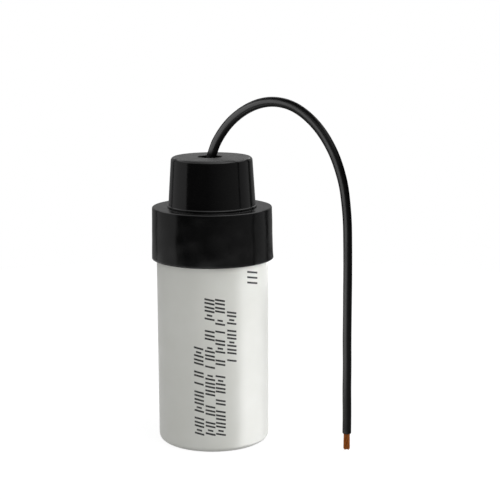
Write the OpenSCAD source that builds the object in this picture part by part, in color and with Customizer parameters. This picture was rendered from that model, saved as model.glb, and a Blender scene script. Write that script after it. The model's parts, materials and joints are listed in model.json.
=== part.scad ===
// Motor run capacitor in a round plastic can: a film winding potted in resin, two riveted tab
// terminals on a moulded deck, a soft collar round the can's neck, and a snap-in cover whose
// top lets one stranded lead out. The origin is the centre of the standing face, +Z up the can.

/* [Can] */
// Outside diameter of the can
can_d = 36; // [34:0.5:50]
// Height of the can, from its standing face to its rim
can_h = 75; // [65:1:110]
// Wall of the can below its mouth
can_wall = 1.6; // [1.3:0.1:2.4]
// Thickness of the can's floor, measured at the foot ring
can_floor = 2; // [1.5:0.1:3]
// Radius of the rounded edge round the base
base_edge_r = 1.8; // [0.8:0.1:2.4]
// Depth of the recess inside the foot ring
foot_recess = 0.5; // [0.2:0.1:0.8]
// Width of the foot ring's flat face
foot_w = 3; // [1.5:0.5:5]
// Diameter of the moulding gate's mark under the floor
gate_d = 2.4; // [1:0.2:4]
// How far the neck is set in from the can's outside
neck_step = 0.4; // [0.3:0.1:0.6]
// Chamfer round the outside of the rim
rim_chamfer = 0.3; // [0.1:0.1:0.5]
// Width of the shoulder inside the mouth that carries the deck
deck_seat = 0.4; // [0.3:0.1:0.6]

/* [Winding] */
// Outside diameter of the winding's core tube
core_d = 8.4; // [7:0.2:12]
// Wall of the core tube
core_wall = 1.4; // [0.8:0.1:2]
// Thickness of the sprayed metal on each end of the winding
spray_t = 0.5; // [0.3:0.1:0.8]
// Thickness of the plain film wrapped round the winding
wrap_t = 0.4; // [0.2:0.1:0.8]
// Resin between the wrapped winding and the can's wall
resin_gap = 1; // [0.6:0.1:2.5]
// Resin over the winding, up to the deck
head_space = 6.4; // [5:0.2:10]

/* [Cradle] */
// Thickness of the cradle's disc
cradle_t = 1.2; // [0.8:0.1:2]
// Height of the ribs that hold the winding off the disc
cradle_rib_h = 1.4; // [1:0.1:2.5]
// Width of each rib
cradle_rib_w = 1.6; // [1:0.1:3]
// Number of ribs, each with a centring lug at its outer end
cradle_ribs = 6; // [4:2:8]
// Height of the centring lugs above the disc
cradle_lug_h = 6; // [3:0.5:12]
// Width of each centring lug
cradle_lug_w = 4; // [2:0.5:5]
// Diameter of the holes that let the resin under the winding
cradle_hole_d = 3.6; // [2:0.2:4.4]
// Gap between the cradle and the can's wall
cradle_play = 0.15; // [0.05:0.05:0.3]

/* [Tail wires] */
// Diameter of the tinned tail wires
tail_d = 0.8; // [0.5:0.1:1]
// Radius of the tail wires' bends, at the wire's centre
tail_bend_r = 1.4; // [0.8:0.1:1.4]
// Length of each tail wire that lies soldered on the sprayed end
tail_weld = 4; // [3:0.5:5]
// Diameter of the solder on each sprayed end
weld_d = 3.8; // [2.4:0.2:4]
// Height of the solder on each sprayed end
weld_h = 1.2; // [1:0.1:1.3]
// Solder between each tail wire and the sprayed end
weld_bed = 0.1; // [0.05:0.05:0.2]

/* [Deck] */
// Distance from the can's rim down to the deck's top face
deck_drop = 5; // [4:0.2:10]
// Thickness of the deck
deck_t = 3; // [2.4:0.2:5]
// Gap between the deck and the can's mouth
deck_play = 0.1; // [0.05:0.05:0.2]
// Height of the barrier between the terminals
barrier_h = 7; // [3:0.5:9]
// Gap between each end of the barrier and the filling plug's head, or the cover if it is nearer
barrier_gap = 0.6; // [0.3:0.1:3]
// Thickness of the barrier at its foot
barrier_t = 1.2; // [0.8:0.1:2]
// Depth of the pockets that hold the terminals square
pocket_depth = 0.5; // [0.2:0.1:0.8]
// Gap round a terminal in its pocket
pocket_play = 0.1; // [0.05:0.05:0.3]
// Diameter of the hole that the resin is poured through
fill_d = 4; // [3:0.2:4.6]
// Deck left outside the filling plug's head
fill_land = 0.9; // [0.5:0.1:1.5]
// Gap between the filling hole and its plug
fill_play = 0.05; // [0.02:0.01:0.1]
// Diameter of the plug's head
plug_head_d = 5.2; // [4.8:0.2:6]
// Thickness of the plug's head
plug_head_h = 0.8; // [0.5:0.1:1.5]

/* [Terminals] */
// Width of the terminals' tabs
tab_w = 6.3; // [4.8:0.1:8]
// Thickness of the terminals' sheet
tab_t = 0.8; // [0.5:0.1:1]
// Height of the tabs above the deck
tab_h = 9; // [7:0.5:10]
// Distance between the facing sides of the two tabs
tab_gap = 8.1; // [7.5:0.1:9]
// Inner radius of the bend between base and tab
tab_bend_r = 0.6; // [0.3:0.1:1]
// Chamfer on the corners of each tab's tip
tab_chamfer = 1.2; // [0.6:0.1:2]
// Diameter of the eye near each tab's tip
eye_d = 1.8; // [1.2:0.1:2.4]
// Distance from each tab's tip down to the middle of its eye
eye_drop = 3.2; // [2.5:0.1:3.6]
// Distance of each rivet from the can's axis
rivet_offset = 8; // [7.9:0.1:8.6]
// Diameter of the rivets' shanks
rivet_d = 3; // [2:0.1:3.4]
// Diameter of the rivets' heads
rivet_head_d = 4.6; // [4:0.1:5.2]
// Height of the rivets' domed heads
rivet_head_h = 1; // [0.6:0.1:1.4]
// Sheet left between a rivet's middle and the terminal's outer end
terminal_end = 3.1; // [2.7:0.1:3.6]

/* [Collar] */
// Length of the collar's skirt below the can's rim
collar_skirt = 14.8; // [8:0.1:30]
// Thickness of the collar's lip over the rim
collar_lip = 1.9; // [1.2:0.1:3]
// Wall of the collar at its top
collar_wall = 1.65; // [1:0.05:3]
// How much wider the skirt's radius is at its foot than at its top
collar_flare = 0.3; // [0:0.05:0.6]
// Radius of the edge round the ledge
collar_top_r = 0.4; // [0.2:0.1:0.9]
// Radius of the edge round the skirt's foot
collar_foot_r = 0.3; // [0.2:0.1:0.9]

/* [Terminal cover] */
// Height of the cover above the collar
cover_h = 16; // [12:0.5:26]
// How far the cover's base stands out over its snap skirt
cover_step = 0.8; // [0.5:0.1:2]
// How much narrower the cover's radius is at its top than at its base
cover_taper = 1; // [0.2:0.1:1.4]
// Radius of the edge round the cover's top
cover_edge_r = 1.2; // [0.4:0.1:1.6]
// Thickness of the cover's roof
cover_roof = 1.7; // [1:0.1:3]
// How far the foot bead stands out from the cover's base
bead_out = 0.4; // [0.2:0.05:1]
// Height of the foot bead
bead_h = 0.6; // [0.5:0.1:1.6]
// Diameter of the snap skirt that enters the collar
snap_d = 26.4; // [25:0.1:27]
// Wall of the snap skirt
snap_wall = 1.4; // [1:0.1:2]
// Length of the snap skirt below the collar's lip
snap_l = 1.6; // [1.2:0.1:2.4]
// How far the snap bead reaches under the lip
snap_out = 0.45; // [0.2:0.05:0.6]
// Gap between the snap skirt and the collar, and under the lip
snap_play = 0.1; // [0.05:0.05:0.2]
// Number of slots that let the snap skirt flex
snap_slots = 6; // [3:1:10]
// Width of each slot
snap_slot_w = 2; // [1:0.5:3]
// How much narrower the cavity's radius is at the roof than at the skirt
cavity_draft = 0.4; // [0.1:0.1:1]
// Diameter of the cable hole
hole_d = 7.8; // [5:0.2:9]
// Radius of the rounded rim round the cable hole
hole_rim_r = 0.3; // [0.1:0.1:1]
// How far the cable hole is set off the axis, away from the side that the lead hangs on
hole_offset = 0.6; // [0:0.1:1.5]

/* [Lead] */
// Diameter of the lead over its insulation
lead_d = 2.8; // [2.4:0.1:3.4]
// Diameter of the bundle of copper strands
strands_d = 2.1; // [1.6:0.1:2.2]
// Length of bare strands at the free end
bare_l = 5.3; // [3:0.1:5.6]
// Length of bare strands laid along the tab
strip_l = 5.6; // [4:0.1:6.5]
// Gap between the tab's tip and the end of the insulation
strip_gap = 0.3; // [0.1:0.1:1]
// Diameter of the solder round the strands
solder_d = 3.4; // [2.9:0.1:3.6]
// Length of the solder along the strands
solder_l = 4; // [3.6:0.1:4.6]

/* [Hidden] */
$fn = 72;
can_r = can_d / 2;
inner_r = can_r - can_wall;
mouth_r = inner_r + deck_seat;
neck_r = can_r - neck_step;
skirt_z = can_h - collar_skirt;
deck_z = can_h - deck_drop - deck_t;
deck_top = can_h - deck_drop;
ledge_z = can_h + collar_lip;
cover_top = ledge_z + cover_h;
deck_r = mouth_r - deck_play;
fill_offset = deck_r - fill_land - plug_head_d / 2;
barrier_l = 2 * (min(fill_offset - plug_head_d / 2, snap_d / 2 - snap_wall) - barrier_gap);

core_r = core_d / 2;
wrap_r = inner_r - resin_gap;
film_r = wrap_r - wrap_t;
roll_z = can_floor + cradle_t + cradle_rib_h;
roll_top = deck_z - head_space;

tail_r = tail_d / 2;
weld_x = film_r - weld_d / 2;
rivet_tail_h = rivet_head_h;
rivet_bore = 1.5;

collar_r = neck_r + collar_wall;
opening_r = snap_d / 2 + snap_play;
tab_x = tab_gap / 2;
tab_top = deck_top + tab_h;
eye_z = tab_top - eye_drop;
base_z = deck_top - pocket_depth;
strands_r = strands_d / 2;
strands_x = tab_x - strands_r;
lead_z = tab_top + strip_gap;

// The lead leaves its tab, rises through the cable hole, arches over and hangs down to the
// height of the standing face. Each point is [across, back, above the cover's top].
lead_route = [
    [-3, 0, -11.5], [-2.4, 0.2, -8.5], [-1.5, 0.2, -5], [-0.8, 0.1, -2], [0.3, -0.2, 1.2],
    [1.3, -0.6, 4], [2.9, -1.2, 7], [5.4, -2.3, 10.5], [8, -3.3, 13.1], [11, -4.5, 15.3],
    [14.5, -6, 17], [18, -7.4, 17.8], [21.5, -8.9, 17.7], [25, -10.3, 16.7], [28.5, -11.7, 14.6],
    [31.3, -12.9, 12.1], [33.8, -13.9, 9.1], [36, -14.8, 5.6], [38, -15.7, 1.4], [39.5, -16.3, -3],
    [40.6, -16.7, -7.4], [41.3, -17, -12.4], [41.8, -17.1, -18], [42, -17.3, -25],
    [42.1, -17.3, -33], [42.1, -17.4, -41], [42.1, -17.4, -49], [42.1, -17.4, -57],
    [42.2, -17.4, -65], [42.2, -17.4, -73], [42.3, -17.4, -80], [42.3, -17.4, -87]
];
lead_sides = 8;
lead_points = concat([[-strands_x, 0, lead_z]], [for (p = lead_route) p + [0, 0, cover_top]]);
lead_last = len(lead_points) - 1;
lead_end = lead_points[lead_last];

CAN_COLOR = [0.87, 0.87, 0.84];
BLACK_COLOR = [0.09, 0.09, 0.09];
SOFT_BLACK_COLOR = [0.13, 0.13, 0.14];
FILM_COLOR = [0.72, 0.74, 0.78];
WRAP_COLOR = [0.85, 0.83, 0.7];
CORE_COLOR = [0.95, 0.95, 0.9];
SPRAY_COLOR = [0.55, 0.56, 0.58];
RESIN_COLOR = [0.25, 0.2, 0.14];
DECK_COLOR = [0.35, 0.2, 0.12];
TIN_COLOR = [0.8, 0.8, 0.78];
SOLDER_COLOR = [0.7, 0.71, 0.73];
COPPER_COLOR = [0.72, 0.4, 0.18];

// What a round of radius r takes off the corner at b, between the edges towards a and c
module corner(a, b, c, r) {
    u = (a - b) / norm(a - b);
    v = (c - b) / norm(c - b);
    half = acos(u * v) / 2;
    run = r / tan(half);
    difference() {
        polygon([b, b + u * run, b + v * run]);
        translate(b + (u + v) / norm(u + v) * r / sin(half)) circle(r);
    }
}

// A ring or disc between two heights
module ring(outer, inner, low, high) {
    difference() {
        translate([0, 0, low]) cylinder(r = outer, h = high - low);
        if (inner > 0) translate([0, 0, low - 1]) cylinder(r = inner, h = high - low + 2);
    }
}

// A low dome of base diameter d and height h, standing on z = 0
module low_dome(d, h) {
    sphere_r = (d * d / 4 + h * h) / (2 * h);
    intersection() {
        translate([0, 0, h - sphere_r]) sphere(sphere_r);
        cylinder(r = d, h = h + 1);
    }
}

// A round wire along points in the XY plane that turns a right angle at each inner point
module bent_wire(points, d, bend_r) {
    last = len(points) - 1;
    for (i = [0:last - 1]) {
        way = (points[i + 1] - points[i]) / norm(points[i + 1] - points[i]);
        start = points[i] + way * (i > 0 ? bend_r : 0);
        end = points[i + 1] - way * (i < last - 1 ? bend_r : 0);
        translate([start.x, start.y, 0]) rotate([0, 90, atan2(way.y, way.x)])
            cylinder(d = d, h = norm(end - start));
    }
    for (i = [1:last - 1]) {
        way_in = (points[i] - points[i - 1]) / norm(points[i] - points[i - 1]);
        way_out = (points[i + 1] - points[i]) / norm(points[i + 1] - points[i]);
        left = way_in.x * way_out.y - way_in.y * way_out.x > 0;
        middle = points[i] + (way_out - way_in) * bend_r;
        first = left ? -way_out : way_in;
        translate([middle.x, middle.y, 0]) rotate([0, 0, atan2(first.y, first.x)])
            rotate_extrude(angle = 90) translate([bend_r, 0]) circle(d = d);
    }
}

module can() {
    foot_r = can_r - base_edge_r - foot_w;
    outline = [
        [0, foot_recess], [foot_r - foot_recess, foot_recess], [foot_r, 0], [can_r, 0],
        [can_r, skirt_z], [neck_r, skirt_z], [neck_r, can_h], [mouth_r, can_h],
        [mouth_r, deck_z], [inner_r, deck_z], [inner_r, can_floor], [0, can_floor]
    ];
    color(CAN_COLOR) {
        rotate_extrude() difference() {
            polygon(outline);
            corner([0, 0], [can_r, 0], [can_r, can_h], base_edge_r);
            polygon([[neck_r - rim_chamfer, can_h], [neck_r, can_h - rim_chamfer],
                     [neck_r + 1, can_h - rim_chamfer], [neck_r + 1, can_h + 1],
                     [neck_r - rim_chamfer, can_h + 1]]);
        }
        translate([0, 0, foot_recess / 2]) cylinder(d = gate_d, h = foot_recess);
    }
}

// A sheet of the given width along Y, cut square across the cradle at each rib's angle
module cradle_sector(low, high, from_r, to_r, width) {
    translate([from_r, -width / 2, low]) cube([to_r - from_r, width, high - low]);
}

module winding_cradle() {
    disc_r = inner_r - cradle_play;
    disc_top = can_floor + cradle_t;
    lug_top = disc_top + cradle_lug_h;
    step = 360 / cradle_ribs;
    color(CORE_COLOR) {
        difference() {
            ring(disc_r, 0, can_floor, disc_top);
            for (i = [0:cradle_ribs - 1]) rotate([0, 0, i * step])
                translate([(core_r + film_r) / 2, 0, can_floor - 1])
                    cylinder(d = cradle_hole_d, h = cradle_t + 2);
        }
        for (i = [0:cradle_ribs - 1]) rotate([0, 0, (i + 0.5) * step])
            cradle_sector(disc_top, roll_z, core_r + 1, film_r, cradle_rib_w);
        intersection() {
            ring(disc_r, wrap_r, disc_top, lug_top);
            for (i = [0:cradle_ribs - 1]) rotate([0, 0, (i + 0.5) * step])
                cradle_sector(disc_top, lug_top, film_r, can_r, cradle_lug_w);
        }
    }
}

module winding() {
    color(FILM_COLOR) ring(film_r, core_r, roll_z + spray_t, roll_top - spray_t);
}

module core_tube() {
    color(CORE_COLOR) ring(core_r, core_r - core_wall, roll_z, roll_top);
}

module outer_wrap() {
    color(WRAP_COLOR) ring(wrap_r, film_r, roll_z, roll_top);
}

module bottom_end_spray() {
    color(SPRAY_COLOR) ring(film_r, core_r, roll_z, roll_z + spray_t);
}

module top_end_spray() {
    color(SPRAY_COLOR) ring(film_r, core_r, roll_top - spray_t, roll_top);
}

// From the solder under the winding, up through the core tube and over to the second rivet
module bottom_tail_wire() {
    weld_z = roll_z - weld_bed - tail_r;
    turn_z = roll_top + 2 * tail_r + tail_bend_r;
    color(TIN_COLOR) rotate([90, 0, 0]) bent_wire([
        [weld_x + tail_weld / 2, weld_z], [0, weld_z], [0, turn_z],
        [rivet_offset, turn_z], [rivet_offset, deck_z - rivet_tail_h + rivet_bore]
    ], tail_d, tail_bend_r);
}

// From the solder on top of the winding to the rivet of the lead's terminal
module top_tail_wire() {
    weld_z = roll_top + weld_bed + tail_r;
    color(TIN_COLOR) rotate([90, 0, 0]) bent_wire([
        [-weld_x - tail_weld / 2, weld_z], [-rivet_offset, weld_z],
        [-rivet_offset, deck_z - rivet_tail_h + rivet_bore]
    ], tail_d, tail_bend_r);
}

module bottom_tail_solder() {
    color(SOLDER_COLOR) difference() {
        translate([weld_x, 0, roll_z]) mirror([0, 0, 1]) low_dome(weld_d, weld_h);
        bottom_tail_wire();
    }
}

module top_tail_solder() {
    color(SOLDER_COLOR) difference() {
        translate([-weld_x, 0, roll_top]) low_dome(weld_d, weld_h);
        top_tail_wire();
    }
}

// Fills what is left of the can under the deck
module potting_resin() {
    color(RESIN_COLOR) difference() {
        ring(inner_r, 0, can_floor, deck_z);
        winding_cradle();
        ring(wrap_r, core_r - core_wall, roll_z, roll_top);
        bottom_tail_wire();
        top_tail_wire();
        bottom_tail_solder();
        top_tail_solder();
        terminal_rivets();
        fill_plug();
    }
}

// The outline of a terminal's base on the deck, with a gap round it
module terminal_base(gap) {
    translate([tab_x - gap, -tab_w / 2 - gap])
        square([rivet_offset + terminal_end - tab_x + 2 * gap, tab_w + 2 * gap]);
}

module terminal_deck() {
    fill_r = fill_d / 2;
    color(DECK_COLOR) {
        difference() {
            ring(deck_r, 0, deck_z, deck_top);
            for (side = [0, 180]) rotate([0, 0, side]) {
                translate([0, 0, base_z]) linear_extrude(deck_t) terminal_base(pocket_play);
                translate([rivet_offset, 0, deck_z - 1]) cylinder(d = rivet_d, h = deck_t + 2);
            }
            translate([0, fill_offset, deck_z - 1]) cylinder(r = fill_r, h = deck_t + 2);
        }
        translate([0, barrier_l / 2, deck_top]) rotate([90, 0, 0]) linear_extrude(barrier_l)
            polygon([[-barrier_t / 2, 0], [barrier_t / 2, 0], [barrier_t / 3, barrier_h],
                     [-barrier_t / 3, barrier_h]]);
    }
}

// A tab terminal in one piece of bent sheet, its upright side facing the barrier
module terminal() {
    upright_h = tab_top - base_z;
    length = rivet_offset + terminal_end - tab_x;
    outer_r = tab_bend_r + tab_t;
    color(TIN_COLOR) translate([tab_x, 0, base_z]) difference() {
        rotate([90, 0, 0]) translate([0, 0, -tab_w / 2]) linear_extrude(tab_w)
            difference() {
                square([length, upright_h]);
                translate([outer_r, outer_r]) square([length, upright_h]);
                translate([tab_t, outer_r - 0.01]) square([tab_bend_r + 0.01, upright_h]);
                translate([outer_r - 0.01, tab_t]) square([length, tab_bend_r + 0.01]);
                difference() {
                    translate([tab_t, tab_t]) square(tab_bend_r);
                    corner([tab_t, upright_h], [tab_t, tab_t], [length, tab_t], tab_bend_r);
                }
                corner([0, upright_h], [0, 0], [length, 0], outer_r);
            }
        for (side = [-1, 1]) translate([-1, side * tab_w / 2, upright_h])
            rotate([45, 0, 0]) translate([0, -tab_chamfer / sqrt(2), -tab_chamfer / sqrt(2)])
                cube([tab_t + 2, tab_chamfer * sqrt(2), tab_chamfer * sqrt(2)]);
        translate([-1, 0, eye_z - base_z]) rotate([0, 90, 0]) cylinder(d = eye_d, h = tab_t + 2);
        translate([rivet_offset - tab_x, 0, -1]) cylinder(d = rivet_d, h = tab_t + 2);
    }
}

module lead_terminal() {
    rotate([0, 0, 180]) terminal();
}

module second_terminal() {
    terminal();
}

// A rivet through each terminal and the deck, with a blind bore below for the tail wire
module terminal_rivets() {
    head_z = base_z + tab_t;
    tail_z = deck_z - rivet_tail_h;
    color(TIN_COLOR) for (side = [-1, 1]) translate([side * rivet_offset, 0, 0]) difference() {
        union() {
            translate([0, 0, deck_z]) cylinder(d = rivet_d, h = head_z - deck_z);
            translate([0, 0, head_z]) low_dome(rivet_head_d, rivet_head_h);
            translate([0, 0, deck_z]) mirror([0, 0, 1]) low_dome(rivet_head_d, rivet_tail_h);
        }
        translate([0, 0, tail_z - 1]) cylinder(d = tail_d, h = rivet_bore + 1);
    }
}

module fill_plug() {
    color(CORE_COLOR) translate([0, fill_offset, 0]) {
        ring(fill_d / 2 - fill_play, 0, deck_z, deck_top);
        ring(plug_head_d / 2, 0, deck_top, deck_top + plug_head_h);
    }
}

module collar() {
    foot_r = collar_r + collar_flare;
    outline = [
        [neck_r, skirt_z], [foot_r, skirt_z], [collar_r, ledge_z], [opening_r, ledge_z],
        [opening_r, can_h], [neck_r, can_h]
    ];
    color(SOFT_BLACK_COLOR) rotate_extrude() difference() {
        polygon(outline);
        corner(outline[0], outline[1], outline[2], collar_foot_r);
        corner(outline[1], outline[2], outline[3], collar_top_r);
    }
}

module terminal_cover() {
    snap_r = snap_d / 2;
    base_r = snap_r + cover_step;
    top_r = base_r - cover_taper;
    bead_r = base_r + bead_out;
    cavity_r = snap_r - snap_wall;
    foot_z = can_h - snap_l;
    roof_z = cover_top - cover_roof;
    hole_r = hole_d / 2;
    bead_top = ledge_z + bead_h;
    rim = [hole_r, cover_top];
    outline = [
        [cavity_r, foot_z], [snap_r, foot_z], [snap_r + snap_out, foot_z + snap_out],
        [snap_r + snap_out, can_h - snap_play - snap_out / 2], [snap_r, can_h - snap_play],
        [snap_r, ledge_z], [bead_r, ledge_z], [bead_r, bead_top], [base_r, bead_top],
        [top_r, cover_top], [0, cover_top], [0, roof_z], [cavity_r - cavity_draft, roof_z]
    ];
    color(BLACK_COLOR) difference() {
        rotate_extrude() difference() {
            polygon(outline);
            corner(outline[6], outline[7], outline[8], min(bead_out, bead_h) * 0.9);
            corner(outline[8], outline[9], outline[10], cover_edge_r);
        }
        translate([-hole_offset, 0, 0]) rotate_extrude() {
            translate([0, roof_z - 1]) square([hole_r, cover_roof + 2]);
            corner([hole_r, roof_z], rim, rim + [cover_roof, 0], hole_rim_r);
        }
        for (i = [0:snap_slots - 1]) rotate([0, 0, (i + 0.5) * 360 / snap_slots])
            translate([cavity_r - 1, -snap_slot_w / 2, foot_z - 1])
                cube([snap_wall + snap_out + 2, snap_slot_w, ledge_z - foot_z + 0.4]);
    }
}

// The direction of the lead at point i: straight up at its start and straight down at its end
function lead_way(i) =
    i == 0 ? [0, 0, 1]
    : i == lead_last ? [0, 0, -1]
    : (lead_points[i + 1] - lead_points[i - 1]) / norm(lead_points[i + 1] - lead_points[i - 1]);

// The level direction square to the upright plane that the lead hangs in
lead_side = [17.4, 42.3, 0] / norm([17.4, 42.3, 0]);

// The corners of the ring round point i
function lead_ring(i) =
    let (way = lead_way(i), out = cross(lead_side, way) / norm(cross(lead_side, way)),
         across = cross(way, out))
    [for (k = [0:lead_sides - 1]) let (turn = 360 * k / lead_sides)
        lead_points[i] + (out * cos(turn) + across * sin(turn)) * lead_d / 2];

module lead() {
    corners = [for (i = [0:lead_last]) each lead_ring(i)];
    walls = [for (i = [0:lead_last - 1], k = [0:lead_sides - 1])
        let (next = (k + 1) % lead_sides, low = i * lead_sides, high = low + lead_sides)
        [low + k, high + k, high + next, low + next]];
    start_face = [for (k = [0:lead_sides - 1]) k];
    end_face = [for (k = [lead_sides - 1:-1:0]) lead_last * lead_sides + k];
    color(BLACK_COLOR) polyhedron(corners, concat([start_face, end_face], walls));
}

module lead_soldered_strands() {
    color(COPPER_COLOR) translate([-strands_x, 0, lead_z - strip_l])
        cylinder(d = strands_d, h = strip_l);
}

// Holds the strands to the tab, and fills the tab's eye and rounds off behind it
module lead_solder() {
    end_r = solder_d / 2;
    color(SOLDER_COLOR) difference() {
        union() {
            intersection() {
                translate([-strands_x, 0, eye_z - solder_l / 2]) union() {
                    translate([0, 0, end_r]) sphere(end_r);
                    translate([0, 0, end_r]) cylinder(r = end_r, h = solder_l - 2 * end_r);
                    translate([0, 0, solder_l - end_r]) sphere(end_r);
                }
                translate([-tab_x, -solder_d, deck_top]) cube([tab_x, 2 * solder_d, tab_h]);
            }
            translate([-tab_x - tab_t, 0, eye_z]) rotate([0, 90, 0])
                cylinder(d = eye_d, h = tab_t);
            translate([-tab_x - tab_t, 0, eye_z]) rotate([0, -90, 0]) low_dome(eye_d + 1, 0.6);
        }
        lead_soldered_strands();
    }
}

module lead_bare_strands() {
    color(COPPER_COLOR) translate(lead_end - [0, 0, bare_l]) cylinder(d = strands_d, h = bare_l);
}

can();
winding_cradle();
winding();
core_tube();
outer_wrap();
bottom_end_spray();
top_end_spray();
bottom_tail_wire();
top_tail_wire();
bottom_tail_solder();
top_tail_solder();
potting_resin();
terminal_deck();
lead_terminal();
second_terminal();
terminal_rivets();
fill_plug();
collar();
terminal_cover();
lead();
lead_soldered_strands();
lead_solder();
lead_bare_strands();
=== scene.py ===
"""Looks of a round plastic-can motor run capacitor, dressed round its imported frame.

The can, its print, the collar, the terminal cover, the lead and the bare strands are surfaces
worked out with numpy. The pieces inside the can keep their solids and get finishes of their own.
Lengths are given in millimetres and turned into metres when a mesh is made.
"""

import json
import logging
import math
from dataclasses import dataclass
from enum import Enum
from typing import Callable, Optional, Sequence, Union

import bpy
import numpy as np
from mathutils import Matrix, Vector

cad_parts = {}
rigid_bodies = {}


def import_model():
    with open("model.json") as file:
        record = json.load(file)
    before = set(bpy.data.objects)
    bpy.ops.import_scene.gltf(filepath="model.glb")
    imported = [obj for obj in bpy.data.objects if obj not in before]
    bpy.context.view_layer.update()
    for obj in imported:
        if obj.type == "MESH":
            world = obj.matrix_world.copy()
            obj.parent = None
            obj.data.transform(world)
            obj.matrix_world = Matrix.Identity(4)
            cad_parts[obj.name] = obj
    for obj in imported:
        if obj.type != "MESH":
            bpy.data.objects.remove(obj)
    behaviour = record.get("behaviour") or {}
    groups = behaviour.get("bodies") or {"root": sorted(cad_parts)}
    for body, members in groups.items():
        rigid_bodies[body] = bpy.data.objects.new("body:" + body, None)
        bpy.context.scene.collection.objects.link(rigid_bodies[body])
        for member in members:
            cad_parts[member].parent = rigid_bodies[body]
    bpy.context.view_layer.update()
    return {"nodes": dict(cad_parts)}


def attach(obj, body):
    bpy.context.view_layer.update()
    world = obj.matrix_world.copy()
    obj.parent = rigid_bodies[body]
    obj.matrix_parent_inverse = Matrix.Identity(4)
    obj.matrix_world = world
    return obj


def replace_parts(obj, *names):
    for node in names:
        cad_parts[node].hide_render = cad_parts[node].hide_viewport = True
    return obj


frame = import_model()
log = logging.getLogger("capacitor")

MM = 0.001
FULL_TURN = 2 * math.pi
BODY = "root"

Colour = tuple[float, float, float]
Node = bpy.types.Node
Socket = bpy.types.NodeSocket
# Takes the angle, radius and height of every point, and gives back its radius and height
Waver = Callable[[np.ndarray, np.ndarray, np.ndarray], tuple[np.ndarray, np.ndarray]]


class Slot(Enum):
    """Names of the record's material slots. A new piece given one rides on the part's body; its
    finish is built here.
    """

    CAN = "can_plastic"
    COLLAR = "soft_collar"
    COVER = "cover_plastic"
    LEAD = "lead_insulation"
    COPPER = "copper"


# ---------------------------------------------------------------- surfaces


@dataclass(frozen=True)
class Corner:
    """A corner of a turned profile.

    Args:
        r: distance from the axis, in millimetres.
        z: height above the standing face, in millimetres.
        rounding: radius of the round that replaces the corner, in millimetres.
    """

    r: float
    z: float
    rounding: float = 0.0


@dataclass
class Surface:
    """A closed skin held as whole arrays.

    Args:
        points: corners in millimetres, one row each.
        quads: indices of the four corners of each four-sided face.
        tris: indices of the three corners of each triangle.
    """

    points: np.ndarray
    quads: np.ndarray
    tris: np.ndarray

    def outward(self) -> "Surface":
        """Turns the faces over if they enclose a negative volume.

        The volume is the sum of a . (b x c) / 6 over the triangles (a, b, c).

        Returns:
            The surface with its faces pointing outwards.
        """
        triangles = np.concatenate([self.tris, self.quads[:, :3], self.quads[:, [0, 2, 3]]])
        a, b, c = np.moveaxis(self.points[triangles], 1, 0)
        if np.einsum("ij,ij->", a, np.cross(b, c)) >= 0:
            return self
        return Surface(self.points, self.quads[:, ::-1], self.tris[:, ::-1])

    @staticmethod
    def joined(parts: Sequence["Surface"]) -> "Surface":
        """Puts several skins into one mesh, each with its indices moved past those before it.

        Args:
            parts: the skins.

        Returns:
            One surface that holds them all.
        """
        starts = np.cumsum([0] + [len(part.points) for part in parts[:-1]])
        return Surface(
            np.concatenate([part.points for part in parts]),
            np.concatenate([part.quads + start for part, start in zip(parts, starts)]),
            np.concatenate([part.tris + start for part, start in zip(parts, starts)]),
        )

    def piece(
        self, name: str, material: bpy.types.Material, slot: Optional[Slot] = None,
        marks: Optional[dict[str, np.ndarray]] = None, crease: float = 40.0,
    ) -> bpy.types.Object:
        """Makes the surface an object at the origin, smooth up to a crease angle.

        Args:
            name: the object's name.
            material: its finish.
            slot: the record's slot that the finish belongs to; none for the studio's things.
            marks: a value for every point, by attribute name.
            crease: angle between faces past which their edge is sharp, in degrees.

        Returns:
            The object, linked to the scene. With a slot it rides on the part's body.
        """
        mesh = bpy.data.meshes.new(name)
        faces = self.quads.tolist() + self.tris.tolist()
        mesh.from_pydata((self.points * MM).tolist(), [], faces)
        for mark, values in (marks or {}).items():
            layer = mesh.attributes.new(mark, "FLOAT", "POINT")
            layer.data.foreach_set("value", np.asarray(values, np.float32))
        mesh.shade_smooth()
        mesh.set_sharp_from_angle(angle=math.radians(crease))
        mesh.materials.append(material)
        made = bpy.data.objects.new(name, mesh)
        bpy.context.scene.collection.objects.link(made)
        if slot is not None:
            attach(made, BODY)
            log.info("%s: %d faces", name, len(faces))
        return made


def skin(rings: np.ndarray, looped: bool) -> Surface:
    """Joins rings of points into a closed skin.

    Face (i, j) joins points (i, j), (i, j+1), (i+1, j+1) and (i+1, j), with j+1 counted round
    the ring, and i+1 round the rings where they are looped. Rings that aren't looped end in
    poles: a fan of triangles joins each end ring to the middle of its points.

    Args:
        rings: points in millimetres, shaped (rings, points in a ring, 3).
        looped: whether the last ring joins the first.

    Returns:
        The skin, with its faces pointing outwards.
    """
    count, around = rings.shape[:2]
    index = np.arange(count * around).reshape(count, around)
    lower, upper = (index, np.roll(index, -1, axis=0)) if looped else (index[:-1], index[1:])
    quads = np.stack([lower, np.roll(lower, -1, 1), np.roll(upper, -1, 1), upper], axis=-1)
    points = rings.reshape(-1, 3)
    tris = np.empty((0, 3), int)
    if not looped:
        first, last = index[0], index[-1]
        pole = np.full(around, count * around)
        points = np.concatenate([points, rings[[0, -1]].mean(axis=1)])
        tris = np.concatenate([
            np.stack([np.roll(first, -1), first, pole], axis=-1),
            np.stack([last, np.roll(last, -1), pole + 1], axis=-1),
        ])
    return Surface(points, quads.reshape(-1, 4), tris).outward()


def per_point(values: np.ndarray, around: int) -> np.ndarray:
    """Spreads one value for each ring over the points of a skin that ends in poles.

    Args:
        values: one value for each ring.
        around: points in a ring.

    Returns:
        One value for each point, those of the two poles last.
    """
    return np.concatenate([np.repeat(values, around), values[[0, -1]]])


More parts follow.
